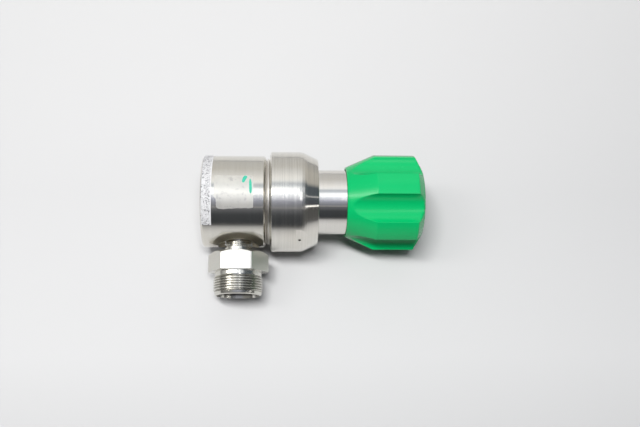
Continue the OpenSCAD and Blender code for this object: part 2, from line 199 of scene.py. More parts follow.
def lathe(name, pts, n=256, closed=True, matrix=M_AXIS, shape=None, angles=None, sharp=32.0):
    """A turned piece from its (r, z) outline in mm. shape(r, z, angles) may change the radius round the turn."""
    ang = np.linspace(0, 2 * math.pi, n, endpoint=False) if angles is None else np.asarray(angles)
    n = len(ang)
    rows = []
    for r, z in pts:
        rr = np.full(n, r, float) if shape is None else np.asarray(shape(r, z, ang), float)
        rows.append(np.stack([rr * np.cos(ang), rr * np.sin(ang), np.full(n, z, float)], 1))
    v = np.concatenate(rows) * MM
    ob = mesh_object(name, v, grid_faces(len(pts), n, closed), matrix)
    return tidy(ob, sharp=sharp)


def thread_r(root, depth, pitch, z, ang, z0, z1, run=0.7, flank=0.38):
    """Radius of a helical thread with rounded crests and roots, which runs in and out at z0 and z1."""
    f = np.mod((z - z0) / pitch - ang / (2 * math.pi), 1.0)
    h = np.clip((0.46 - np.abs(f - 0.5)) / flank, 0, 1)
    h = 0.5 - 0.5 * np.cos(math.pi * h)
    fade = np.clip(np.minimum((z - z0) / run, (z1 - z) / run), 0, 1)
    return root + depth * h * fade


def threaded(name, plain, threads, n=256, matrix=M_AXIS, shape=None, turn=0.0, sharp=35.0, rows=16):
    """A turned piece with threads. plain holds stretches of (r, z) points, threads holds (z0, z1, pitch, radius function), and the ends of all stretches meet."""
    ang = turn + np.linspace(0, 2 * math.pi, n + 1)
    ca, sa = np.cos(ang), np.sin(ang)
    ca[-1], sa[-1] = ca[0], sa[0]
    verts, faces, base = [], [], 0
    for pts in plain:
        for r, z in pts:
            rr = np.full(n + 1, r, float) if shape is None else np.asarray(shape(r, z, ang), float)
            verts.append(np.stack([rr * ca, rr * sa, np.full(n + 1, z, float)], 1))
        faces += [tuple(base + v for v in f) for f in grid_faces(len(pts), n + 1, False, False)]
        base += len(pts) * (n + 1)
    for z0, z1, pitch, radius in threads:
        ts = np.arange(z0 - pitch * ang[-1] / (2 * math.pi) - pitch / rows, z1 - pitch * ang[0] / (2 * math.pi) + pitch / rows, pitch / rows)
        for t in ts:
            z = np.clip(t + pitch * ang / (2 * math.pi), z0, z1)
            rr = radius(z, ang)
            verts.append(np.stack([rr * ca, rr * sa, z], 1))
        faces += [tuple(base + v for v in f) for f in grid_faces(len(ts), n + 1, False, False)]
        base += len(ts) * (n + 1)
    return tidy(mesh_object(name, np.concatenate(verts) * MM, faces, matrix), merge=4e-7, sharp=sharp)


def take_mesh(ob):
    dg = bpy.context.evaluated_depsgraph_get()
    me = bpy.data.meshes.new_from_object(ob.evaluated_get(dg))
    ob.modifiers.clear()
    old = ob.data
    ob.data = me
    bpy.data.meshes.remove(old)


def cut(ob, cutters, op="DIFFERENCE", sharp=32.0):
    for c in cutters:
        m = ob.modifiers.new("cut", "BOOLEAN")
        m.object, m.operation, m.solver = c, op, "EXACT"
    take_mesh(ob)
    for c in cutters:
        me = c.data
        bpy.data.objects.remove(c)
        bpy.data.meshes.remove(me)
    return tidy(ob, merge=1e-7, sharp=sharp)


def rod(name, r, z0, z1, matrix, n=96):
    return lathe(name, [(0, z0), (r, z0), (r, z1), (0, z1)], n, closed=False, matrix=matrix)


def box_cutter(name, lo, hi, matrix):
    v = [(x * MM, y * MM, z * MM) for x in (lo[0], hi[0]) for y in (lo[1], hi[1]) for z in (lo[2], hi[2])]
    f = [(0, 1, 3, 2), (4, 6, 7, 5), (0, 4, 5, 1), (2, 3, 7, 6), (0, 2, 6, 4), (1, 5, 7, 3)]
    return tidy(mesh_object(name, v, f, matrix), sharp=0)


def wob(x, y, z=0.0, scale=1.0):
    return mnoise.noise(Vector((x * scale, y * scale, z)))


def wrapped(name, at, na, nb, base, thick):
    """A thin sheet wrapped on the body. at(a, b) gives (station, angle) in mm and radians, base(u) the radius below it, thick(a, b) its thickness."""
    top, low = [], []
    for i in range(na):
        for j in range(nb):
            a, b = i / (na - 1), j / (nb - 1)
            u, th = at(a, b)
            r = base(u)
            t = r + thick(a, b)
            top.append((t * math.cos(th) * MM, t * math.sin(th) * MM, u * MM))
            low.append((r * math.cos(th) * MM, r * math.sin(th) * MM, u * MM))
    n = na * nb
    faces = []
    for i in range(na - 1):
        for j in range(nb - 1):
            p, q = i * nb + j, (i + 1) * nb + j
            faces.append((p, p + 1, q + 1, q))
            faces.append((n + p, n + q, n + q + 1, n + p + 1))
    edge = [(i * nb) for i in range(na)] + [((na - 1) * nb + j) for j in range(1, nb)] + [(i * nb + nb - 1) for i in range(na - 2, -1, -1)] + [j for j in range(nb - 2, 0, -1)]
    for p, q in zip(edge, edge[1:] + edge[:1]):
        faces.append((p, q, n + q, n + p))
    return tidy(mesh_object(name, top + low, faces, M_AXIS), merge=1e-8, sharp=40.0)


def coil(name, rm, rw, z0, z1, turns, seg=64, sides=20):
    """A helical compression spring with closed, ground-looking end coils."""
    c = 2.06 * rw
    m = (z1 - z0 - 2 * rw - 2 * c) / (turns - 2)
    n = int(turns * seg)
    verts, faces = [], []
    for i in range(n + 1):
        t = turns * i / n
        z = z0 + rw + c * min(t, 1) + m * max(0, min(t, turns - 1) - 1) + c * max(0, t - turns + 1)
        a = 2 * math.pi * t
        for j in range(sides):
            b = 2 * math.pi * j / sides
            rr = rm + rw * math.cos(b)
            verts.append((rr * math.cos(a) * MM, rr * math.sin(a) * MM, (z + rw * math.sin(b)) * MM))
    for i in range(n):
        for j in range(sides):
            k = (j + 1) % sides
            faces.append((i * sides + j, i * sides + k, (i + 1) * sides + k, (i + 1) * sides + j))
    faces.append(tuple(range(sides)))
    faces.append(tuple(n * sides + j for j in range(sides - 1, -1, -1)))
    return tidy(mesh_object(name, verts, faces, M_AXIS), sharp=40.0)


# ------------------------------------------------------------------ pieces
def make_body():
    rt = RT_R - 0.6134 * RT_P
    outer = arc_points([
        (12.85, 0), (BODY_R - BODY_EDGE, 0, 0.25), (BODY_R, BODY_EDGE, 0.6), (BODY_R, BODY_LEN - 1.2, 0.2),
        (BODY_R - 0.9, BODY_LEN - 0.15, 0.1), (BODY_R - 1.05, BODY_LEN, 0.08), (rt, BODY_LEN, 0.05), (rt, RT_U0)])
    outer = supported(outer, step=0.8)
    end = supported(arc_points([(rt, RT_U1), (rt, FACE_U - 0.6), (rt - 0.6, FACE_U), (19.5, FACE_U), (19.5, FACE_U - 5.5, 0.3),
        (9.05, FACE_U - 5.5), (9.05, FACE_U - 13.5), (6.0, FACE_U - 13.5), (6.0, FACE_U - 16), (8.5, FACE_U - 16), (8.5, 13),
        (12.05, 13), (12.05, 0.8), (12.85, 0)]))
    body = threaded("turned_body", [outer, end], [(RT_U0, RT_U1, RT_P, lambda z, a: thread_r(rt, 0.6134 * RT_P, RT_P, z, a, RT_U0, RT_U1, flank=0.22))], 256)
    spot = lathe("c1", supported(arc_points([(0, SPOT_H), (12.3, SPOT_H, 0.25), (12.3, 45)]) + [(0, 45)], near=0.3), 160, closed=False, matrix=M_PORT)
    port = rod("c2", 8.6, 13, 33, M_PORT)
    drill = rod("c3", 4.0, 4, 16, M_PORT, 64)
    ro = 8.4 - 0.6134 * 1.4
    out = threaded("c4", [[(0, 14), (ro, 14), (ro, 15.5)], [(ro, 26.9), (10.9, 30.1), (0, 30.1)]],
        [(15.5, 26.9, 1.4, lambda z, a: thread_r(ro, 0.6134 * 1.4, 1.4, z, a, 15.5, 26.9))], 96, M_OUT, rows=12)
    way = lathe("c5", [(0, PORT_U), (2, PORT_U), (2, FACE_U - 4), (0, FACE_U - 4)], 40, closed=False,
        matrix=M_AXIS @ Matrix.Translation((16 * math.cos(PORT_A + math.pi) * MM, 16 * math.sin(PORT_A + math.pi) * MM, 0)))
    return cut(body, [spot, port, drill, out, way], sharp=28.0)


def make_ring():
    rt = RT_R + 0.06 - 0.6134 * RT_P
    nb = NECK_R + 0.3
    outer = supported(arc_points([
        (27.6, RING_U), (RING_R - 2.2, RING_U, 0.2), (RING_R, RING_U + 1.2, 0.3), (RING_R, RING_U + RING_CYL, 10.0),
        (RING_END_R + 0.25, RING_END - 0.15, 0.35), (RING_END_R - 0.3, RING_END, 0.15), (nb + 0.7, RING_END, 0.15), (nb, RING_END - 0.7)]), step=1.0)
    inner = supported([(nb, RING_END - 0.7), (nb, SHOULDER_U), (25.2, SHOULDER_U), (25.2, FLANGE_U - 0.4), (26.0, FLANGE_U - 0.4), (26.0, RT_U1 + 0.1)])[1:] + [(rt, RT_U1)]
    z0 = RING_U + 0.85

    def thread(z, ang):
        return thread_r(rt, 0.6134 * RT_P, RT_P, z, ang, RT_U0, RT_U1, flank=0.22)

    def shape(r, z, ang):
        return thread(np.full(len(ang), z), ang) if abs(r - rt) < 1e-6 and z < RT_U1 - 1 else np.full(len(ang), r)

    ring = threaded("clamp_nut", [outer + inner, [(rt, z0), (26.65, z0), (27.6, RING_U)]], [(z0, RT_U1, RT_P, thread)], 256, shape=shape)
    m = M_AXIS @ Matrix.Rotation(FLAT_A, 4, "Z")
    h = FLAT_AF / 2
    cutters = [box_cutter("c1", (h, -20, RING_END - FLAT_LEN), (42, 20, RING_END + 6), m),
        box_cutter("c2", (-42, -20, RING_END - FLAT_LEN), (-h, 20, RING_END + 6), m),
        lathe("c3", [(0, 20), (0.8, 20), (0.8, h - 0.12), (0.9, h + 0.02), (0.9, 40), (0, 40)], 40, closed=False,
            matrix=m @ Matrix.Translation((0, 0, (RING_END - 11.3) * MM)) @ Matrix.Rotation(math.pi / 2, 4, "Y"))]
    return cut(ring, cutters, sharp=20.0)


def make_bonnet():
    pts = supported(arc_points([
        (16.6, FLANGE_U), (25, FLANGE_U, 0.4), (25, SHOULDER_U - 0.1, 0.4), (NECK_R + 0.2, SHOULDER_U - 0.1, 0.1), (NECK_R, SHOULDER_U + 0.2, 0.1),
        (NECK_R, BONNET_END - 7, 0.5), (NECK_R - 4.5, BONNET_END - 4, 0.4), (12.2, BONNET_END - 3.6, 0.3), (12.2, BONNET_END - 0.5), (11.7, BONNET_END),
        (7, BONNET_END), (6.05, BONNET_END - 0.9), (6.05, CEILING_U), (16.6, CEILING_U, 0.8), (16.6, FLANGE_U)]), step=1.2)
    return lathe("bonnet_housing", pts[:-1], 256, closed=True)


def make_fitting():
    rs = 8.5
    root_s = rs - 0.6134 * 1.411
    rt = FIT_R - 0.6134 * 1.5
    relief = FIT_R - 0.85
    hexr = 16.0
    s0, s1, t0, t1 = 16.4, 28.3, THREAD_H - 0.1, FIT_END - 2.3
    first = arc_points([(5.4, 15.8), (root_s - 0.5, 15.8, 0.1), (root_s, s0)])
    mid = supported(arc_points([(root_s, s1), (root_s, s1 + 0.2), (rs - 0.3, s1 + 0.9, 0.2), (rs - 0.3, HEX_H, 0.25), (hexr * 0.9, HEX_H)]))
    hz = [HEX_H] + list(np.arange(HEX_H + 0.05, HEX_H + 1.8, 0.08)) + list(np.arange(HEX_H + 2.0, HEX_END - 1.3, 0.5)) + list(np.arange(HEX_END - 1.2, HEX_END - 0.02, 0.08)) + [HEX_END]
    mid += [(hexr, z) for z in hz]
    mid += supported(arc_points([(hexr * 0.9, HEX_END), (relief, HEX_END, 0.35), (relief, THREAD_H - 0.7, 0.2), (rt, t0)]))
    last = supported(arc_points([(rt, t1), (rt, t1 + 0.02), (FIT_R - 0.6, t1 + 0.25, 0.12), (FIT_R - 0.9, FIT_END - 0.5, 0.25), (FIT_R - 1.5, FIT_END, 0.12), (12.9, FIT_END, 0.12),
        (12.9 - 6 * math.tan(math.radians(12)), FIT_END - 6), (11.05, FIT_END - 6.4), (11.05, HEX_END + 1.0), (5.4, HEX_END + 1.0, 0.4), (5.4, 15.8)]), step=0.8)
    rc = hexr / math.cos(math.pi / 6)
    k = 1 / math.tan(math.radians(30))

    def end_r(z, ang):
        return np.minimum(thread_r(rt, FIT_R - rt, 1.5, z, ang, t0, t1 + 0.6), FIT_R - np.maximum(0.0, z - 55.5) * 0.5)

    def shape(r, z, ang):
        if abs(r - hexr) < 1e-6 and HEX_H - 1e-6 <= z <= HEX_END + 1e-6:
            d = np.mod(ang - HEX_TURN + 1e-9, math.pi / 3) - math.pi / 6
            rr = np.minimum(hexr / np.cos(d), rc - 0.18)
            rr = np.minimum(rr, 0.985 * hexr + (z - HEX_H) * k)
            return np.minimum(rr, HEX_OUT * hexr + (HEX_END - z) * k)
        if abs(r - rt) < 1e-6 and abs(z - t1) < 1e-6:
            return end_r(np.full(len(ang), z), ang)
        return np.full(len(ang), r)

    threads = [(s0, s1, 1.411, lambda z, a: thread_r(root_s, rs - root_s, 1.411, z, a, s0, s1)), (t0, t1, 1.5, end_r)]
    ob = threaded("hex_fitting", [first, mid, last], threads, 216, M_PORT, shape, HEX_TURN, 22.0)
    ob.data.transform(M_PORT)
    ob.matrix_world = Matrix.Identity(4)
    return ob


def knob_angles():
    a = []
    for i in range(6):
        base = FLUTE_A + i * math.pi / 3
        for d in np.concatenate([np.linspace(-18.5, -15.5, 13, endpoint=False), np.linspace(-15.5, 15.5, 47, endpoint=False), np.linspace(15.5, 18.5, 13, endpoint=False), np.linspace(18.5, 41.5, 6, endpoint=False)]):
            a.append(base + math.radians(d))
    return np.array(a)


def make_knob():
    e = KNOB_U + KNOB_LEN
    fr, depth = 9.8, 6.35
    dc = KNOB_R - depth + fr
    sk = NECK_R + 0.5
    outer = arc_points([
        (sk, KNOB_U + 0.6), (sk + 0.4, KNOB_U, 0.3), (22.0 - 0.35, KNOB_U, 0.3), (22.05, KNOB_U + 0.6, 0.5),
        (KNOB_R, KNOB_U + 17.4, 2.5), (KNOB_R, e - KNOB_END, 0.9), (21.7, e, 0.9), (12.3, e, 0.3), (12.3, e - 2.7, 0.15), (9, e - 2.7)], seg=12)
    flare = [p for p in outer if p[1] < KNOB_U + 18.5]
    rest = [p for p in outer if p[1] >= KNOB_U + 18.5 and p[0] > 21.5]
    face = [p for p in outer if p[1] >= KNOB_U + 18.5 and p[0] <= 21.5]
    outer = supported(flare, near=0.15, step=0.36) + supported([flare[-1]] + rest, near=0.15, step=2.4)[1:] + supported([rest[-1]] + face, near=0.15, step=1.5)[1:]
    inner = supported(arc_points([(9, e - 2.7), (9, WEB_U + 7.6), (11.1, WEB_U + 7.6), (11.1, WEB_U, 0.0), (sk, WEB_U, 0.6), (sk, KNOB_U + 0.6)]), step=3.0)[1:-1]
    pts = outer + inner
    k = 0.24

    def shape(r, z, ang):
        rr = np.full(len(ang), r)
        if r < 21.5:
            return rr
        d = np.mod(ang - FLUTE_A + math.pi / 6, math.pi / 3) - math.pi / 6
        q = fr ** 2 - (dc * np.sin(d)) ** 2
        f = np.where(q > 0, dc * np.cos(d) - np.sqrt(np.maximum(q, 0)), dc * np.cos(d) + 4.0)
        h = np.clip(0.5 + 0.5 * (f - rr) / k, 0, 1)
        return f * (1 - h) + rr * h - k * h * (1 - h)

    return lathe("fluted_knob", pts, closed=True, shape=shape, angles=knob_angles(), sharp=50.0)


def make_cap():
    e = KNOB_U + KNOB_LEN
    pts = supported(arc_points([(0, e - 2.6), (12.2, e - 2.6, 0.2), (12.2, e - 0.6, 0.0), (11.75, e - 0.2, 0.3), (9.6, e - 0.2, 0.2), (9.2, e - 0.5, 0.2), (0, e - 0.35)], seg=8), step=1.5)
    return lathe("knob_end_cap", pts, 192, closed=False)


def body_surface(u):
    return min(BODY_R, BODY_R - BODY_EDGE + u) + 0.02


def make_band():
    a0, a1 = math.radians(-131), math.radians(29)

    def at(a, b):
        th = a0 + (a1 - a0) * b
        s = th * BODY_R
        left = 0.45 + 0.12 * wob(s, 1.7, 0.3, 0.9)
        right_e = 6.5 + 0.07 * wob(s, 5.1, 0.7, 0.6)
        end = 0.15 * wob(a * 6, 2.2, 0.1, 0.8) / BODY_R * max(0.0, b - 0.97) / 0.03
        return left + (right_e - left) * a, VIEW_A + th + end

    def thick(a, b):
        s = (a1 - a0) * b * BODY_R
        crumple = abs(wob(a * 6, s, 0.0, 0.9)) + 0.6 * abs(wob(a * 6, s, 4.0, 2.1))
        return 0.05 + 0.075 * crumple

    return wrapped("foil_band", at, 34, 420, body_surface, thick)


def make_paper():
    def at(a, b):
        top = -33.5 + 0.5 * wob(a * 23, 0.4, 0.2, 0.5)
        low = 7.4 + 0.9 * wob(a * 23, 3.3, 0.6, 0.33) + 0.45 * wob(a * 23, 8.3, 0.6, 1.1) + 0.9 * math.exp(-((a - 0.17) / 0.10) ** 2) + 0.8 * math.exp(-((a - 0.42) / 0.09) ** 2)
        if a < 0.05:
            low -= 1.6 * (0.05 - a) / 0.05
        left = 8.15 + 0.12 * wob(b * 20, 6.6, 0.1, 0.6) + 1.7 * max(0.0, min(1.0, (b - 0.70) / 0.06)) * (0.8 + 0.2 * wob(b * 30, 1.1, 0.0, 0.7))
        right_e = 31.2 + 0.1 * wob(b * 20, 9.6, 0.4, 0.5) - 0.25 * max(0.0, (b - 0.96) / 0.04)
        return left + (right_e - left) * a, VIEW_A + math.radians(top + (low - top) * b)

    def thick(a, b):
        lift = 0.02 * (math.exp(-(1 - b) / 0.03) + 0.5 * math.exp(-a / 0.02))
        return 0.075 + 0.02 * wob(a * 23, b * 20, 0.0, 0.35) + lift

    return wrapped("paper_sticker", at, 150, 130, lambda u: BODY_R + 0.02, thick)


def make_stroke(name, p, q, bend, w0, w1, seed):
    """A dab of paint from (u, angle) p to q in mm and degrees, w0 and w1 its half widths at the start and past the middle."""
    def at(a, b):
        t = a
        w = (w0 + (w1 - w0) * t) * math.sqrt(max(0.0, 1 - abs(2 * t - 1) ** 3.0)) + 0.02
        w *= 1 + 0.16 * wob(t * 8, seed, 0.4, 1.0)
        c = 2 * b - 1
        du, dp = q[0] - p[0], math.radians(q[1] - p[1]) * BODY_R
        ln = math.hypot(du, dp)
        nx, ny = -dp / ln, du / ln
        off = c * w + bend * math.sin(math.pi * t) + 0.06 * wob(t * 9, c * 2, seed, 1.0)
        return p[0] + du * t + nx * off, VIEW_A + math.radians(p[1]) + (dp * t + ny * off) / BODY_R

    def thick(a, b):
        c = 2 * b - 1
        return 0.012 + 0.05 * math.sqrt(max(0.0, 1 - c * c)) * math.sqrt(max(0.0, 1 - (2 * a - 1) ** 4)) * (0.8 + 0.3 * wob(a * 7, b * 3, seed, 1.0))

    return wrapped(name, at, 48, 18, lambda u: BODY_R + 0.105, thick)


def make_diaphragm():
    """Flat centre, one convolution and a flat rim."""
    wave = [(15.9 + 3.2 * i / 28, FACE_U - 0.45 * (1 - math.cos(2 * math.pi * i / 28))) for i in range(29)]
    low = supported([(3.15, FACE_U), wave[0]], step=1.6)[:-1] + wave + [(20.5, FACE_U), (22.4, FACE_U), (24.3, FACE_U)]
    return lathe("sensing_diaphragm", low + [(r, z + 0.5) for r, z in reversed(low)], 160, sharp=50.0)


def give(ob, body, slot, *nodes):
    if nodes:
        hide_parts(*nodes)
    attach(ob, body)
    return ob


body = give(make_body(), "valve", "body_steel", "valve_body")
ring = give(make_ring(), "valve", "ring_steel", "clamp_ring")
bonnet = give(make_bonnet(), "valve", "neck_steel", "bonnet")
fitting = give(make_fitting(), "valve", "fitting_steel", "inlet_fitting")
knob = give(make_knob(), "hand_knob", "knob_green", "knob")
cap = give(make_cap(), "hand_knob", "knob_green", "knob_cap")
band = give(make_band(), "valve", "band_foil", "band_label")
paper = give(make_paper(), "valve", "paper_cream", "paper_label")
dab_a = give(make_stroke("paint_dab_short", (27.0, -33.0), (25.0, -23.6), 0.25, 1.25, 0.75, 3.7), "valve", "knob_green")
dab_b = give(make_stroke("paint_dab_long", (29.2, -28.9), (29.6, -10.2), -0.1, 0.65, 0.85, 9.1), "valve", "knob_green")
load_coil = give(coil("load_coil", 13.3, 2.0, 57.05, 88.75, 5.5), "valve", "spring_steel", "load_spring")
poppet_coil = give(coil("poppet_coil", 6.1, 0.5, 13.05, 23.95, 6, 48, 14), "valve", "spring_steel", "poppet_spring")


diaphragm = make_diaphragm()
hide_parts("diaphragm")


def on_axis(u):
    return ((u - TOTAL / 2) * MM, AXIS_Y * MM, RING_R * MM)


# ------------------------------------------------------------------ materials
class Tree:
    """Small helper to write node trees."""

    def __init__(self, name):
        self.mat = bpy.data.materials.new(name)
        self.mat.use_nodes = True
        self.nt = self.mat.node_tree
        self.nt.nodes.clear()
        self.out = self.nt.nodes.new("ShaderNodeOutputMaterial")
        self.bsdf = self.nt.nodes.new("ShaderNodeBsdfPrincipled")
        self.nt.links.new(self.bsdf.outputs[0], self.out.inputs[0])
        self.base = None

    def placed(self, matrix):
        """Uses the coordinates of a piece's own frame, where its mesh is written in the whole object's frame."""
        tc = self.node("ShaderNodeTexCoord")
        mp = self.node("ShaderNodeMapping", vector_type="TEXTURE")
        mp.inputs["Location"].default_value = matrix.to_translation()
        mp.inputs["Rotation"].default_value = matrix.to_euler("XYZ")
        self.link(tc.outputs["Object"], mp.inputs["Vector"])
        self.base = mp.outputs[0]
        return self

    def origin(self):
        return self.base if self.base is not None else self.node("ShaderNodeTexCoord").outputs["Object"]

    def node(self, kind, **props):
        n = self.nt.nodes.new(kind)
        for k, v in props.items():
            setattr(n, k, v)
        return n

    def link(self, a, b):
        self.nt.links.new(a, b)

    def set(self, sock, value):
        if hasattr(value, "is_output"):
            self.nt.links.new(value, sock)
        else:
            sock.default_value = value

    def coords(self, scale=(1, 1, 1), rot=(0, 0, 0), loc=(0, 0, 0)):
        mp = self.node("ShaderNodeMapping")
        mp.inputs["Location"].default_value = loc
        mp.inputs["Rotation"].default_value = rot
        mp.inputs["Scale"].default_value = scale
        self.link(self.origin(), mp.inputs["Vector"])
        return mp.outputs[0]

    def xyz(self):
        sep = self.node("ShaderNodeSeparateXYZ")
        self.link(self.origin(), sep.inputs[0])
        return sep.outputs

    def noise(self, vec, scale=1.0, detail=2.0, rough=0.5, distortion=0.0):
        n = self.node("ShaderNodeTexNoise")
        self.link(vec, n.inputs["Vector"])
        n.inputs["Scale"].default_value = scale
        n.inputs["Detail"].default_value = detail
        n.inputs["Roughness"].default_value = rough
        n.inputs["Distortion"].default_value = distortion
        return n.outputs["Fac"]

    def voronoi(self, vec, scale, feature="F1"):
        n = self.node("ShaderNodeTexVoronoi", feature=feature)
        self.link(vec, n.inputs["Vector"])
        n.inputs["Scale"].default_value = scale
        return n.outputs["Distance"]

    def ramp(self, fac, stops):
        n = self.node("ShaderNodeValToRGB")
        el = n.color_ramp.elements
        while len(el) < len(stops):
            el.new(0.5)
        for e, (p, c) in zip(el, stops):
            e.position = p
            e.color = (c, c, c, 1) if isinstance(c, (int, float)) else (*c, 1)
        self.link(fac, n.inputs[0])
        return n.outputs["Color"]

    def math(self, op, a, b=0.0, c=None, clamp=False):
        n = self.node("ShaderNodeMath", operation=op, use_clamp=clamp)
        self.set(n.inputs[0], a)
        self.set(n.inputs[1], b)
        if c is not None:
            self.set(n.inputs[2], c)
        return n.outputs[0]

    def mix(self, fac, a, b, blend="MIX"):
        n = self.node("ShaderNodeMix", data_type="RGBA", blend_type=blend)
        self.set(n.inputs[0], fac)
        self.set(n.inputs[6], a if hasattr(a, "is_output") else (*a, 1))
        self.set(n.inputs[7], b if hasattr(b, "is_output") else (*b, 1))
        return n.outputs[2]

    def bump(self, height, strength, dist, normal=None):
        n = self.node("ShaderNodeBump")
        n.inputs["Strength"].default_value = strength
        n.inputs["Distance"].default_value = dist
        self.link(height, n.inputs["Height"])
        if normal is not None:
            self.link(normal, n.inputs["Normal"])
        return n.outputs[0]

    def window(self, value, lo, hi, soft):
        """1 between lo and hi, with soft ends."""
        a = self.math("MULTIPLY_ADD", value, 1 / soft, -lo / soft + 0.5, clamp=True)
        b = self.math("MULTIPLY_ADD", value, -1 / soft, hi / soft + 0.5, clamp=True)
        return self.math("MULTIPLY", a, b)


def steel(name, base, rough, aniso=0.0, lines=6000.0, smudge=0.05, tint=0.3, marks=0.25, turned=True, scratches=0.10, streaks=0.06, frame_of=None):
    """Turned or ground stainless: fine tool marks, soft stains, a few scratches."""
    t = Tree(name)
    if frame_of is not None:
        t.placed(frame_of)
    b = t.bsdf
    b.inputs["Metallic"].default_value = 1.0
    sc = lambda s: (s, s, lines) if turned else (lines, s, s)
    fine = t.noise(t.coords(sc(30)), 1.0, 3.0, 0.65)
    coarse = t.noise(t.coords((8, 8, lines / 7) if turned else (lines / 7, 8, 8)), 1.0, 2.0, 0.5)
    blot = t.noise(t.coords((1, 1, 1)), 130.0, 4.0, 0.6)
    scr = t.ramp(t.noise(t.coords((240, 3800, 300), (0.4, 0.9, 0.3)), 1.0, 1.0, 0.5), [(0.70, 0.0), (0.76, 1.0)])
    streak = t.noise(t.coords((14, 14, lines / 3.4) if turned else (lines / 3.4, 14, 14), (0, 0, 0), (1, 2, 5)), 1.0, 2.0, 0.6)
    r = t.math("MULTIPLY_ADD", fine, 0.08, rough - 0.04 - streaks / 2)
    r = t.math("MULTIPLY_ADD", streak, streaks, r)
    r = t.math("MULTIPLY_ADD", blot, smudge, r)
    r = t.math("MULTIPLY_ADD", scr, scratches, r)
    t.link(r, b.inputs["Roughness"])
    warm = tuple(c * k for c, k in zip(base, (0.97, 0.92, 0.84)))
    stain = t.ramp(t.noise(t.coords((1, 1, 1), (0, 0, 0), (3, 1, 2)), 60.0, 3.0, 0.55), [(0.42, 0.0), (0.72, tint)])
    col = t.mix(stain, base, warm)
    col = t.mix(t.math("MULTIPLY", coarse, 0.12), col, tuple(c * 0.80 for c in base))
    col = t.mix(t.ramp(streak, [(0.35, min(1.0, streaks * 3.0)), (0.62, 0.0)]), col, tuple(c * 0.78 for c in base))
    t.link(col, b.inputs["Base Color"])
    b.inputs["Anisotropic"].default_value = aniso
    if aniso:
        tg = t.node("ShaderNodeTangent", direction_type="RADIAL", axis="Z")
        t.link(tg.outputs[0], b.inputs["Tangent"])
        b.inputs["Anisotropic Rotation"].default_value = 0.25
    h = t.math("ADD", t.math("MULTIPLY", fine, 0.5), t.math("MULTIPLY", coarse, 0.9))
    n1 = t.bump(h, marks, 0.000014)
    dents = t.noise(t.coords((1, 1, 1), (0, 0, 0), (7, 3, 1)), 210.0, 2.0, 0.5)
    t.link(t.bump(dents, 0.05, 0.00006, n1), b.inputs["Normal"])
    return t


def plain_metal(name, base, rough, fine_scale=900.0, metallic=1.0, mark=0.2):
    """Machined small parts seen at any angle: two scales of tool marks and stains."""
    t = Tree(name)
    b = t.bsdf
    b.inputs["Metallic"].default_value = metallic
    lines = t.noise(t.coords((fine_scale * 4, 60, 60)), 1.0, 3.0, 0.6)
    cloud = t.noise(t.coords(), 240.0, 4.0, 0.55)
    col = t.mix(t.ramp(cloud, [(0.35, 0.0), (0.75, 0.6)]), base, tuple(c * 0.78 for c in base))
    col = t.mix(t.math("MULTIPLY", lines, 0.2), col, tuple(min(1.0, c * 1.15) for c in base))
    t.link(col, b.inputs["Base Color"])
    t.link(t.math("MULTIPLY_ADD", lines, 0.12, t.math("MULTIPLY_ADD", cloud, 0.12, rough - 0.12)), b.inputs["Roughness"])
    t.link(t.bump(lines, mark, 0.00001), b.inputs["Normal"])
    return t.mat


def soft_stuff(name, base, rough, grain, depth, spec=0.5, vary=0.8):
    """Rubber, seat plastic and slip rings: fine grain, cloudy colour."""
    t = Tree(name)
    b = t.bsdf
    g = t.noise(t.coords(), grain, 3.0, 0.6)
    cloud = t.noise(t.coords(), grain / 9, 3.0, 0.5)
    t.link(t.mix(t.ramp(cloud, [(0.3, 0.0), (0.7, 1.0)]), base, tuple(c * vary for c in base)), b.inputs["Base Color"])
    t.link(t.math("MULTIPLY_ADD", g, 0.2, rough - 0.1), b.inputs["Roughness"])
    b.inputs["Specular IOR Level"].default_value = spec
    t.link(t.bump(g, 0.3, depth), b.inputs["Normal"])
    return t.mat


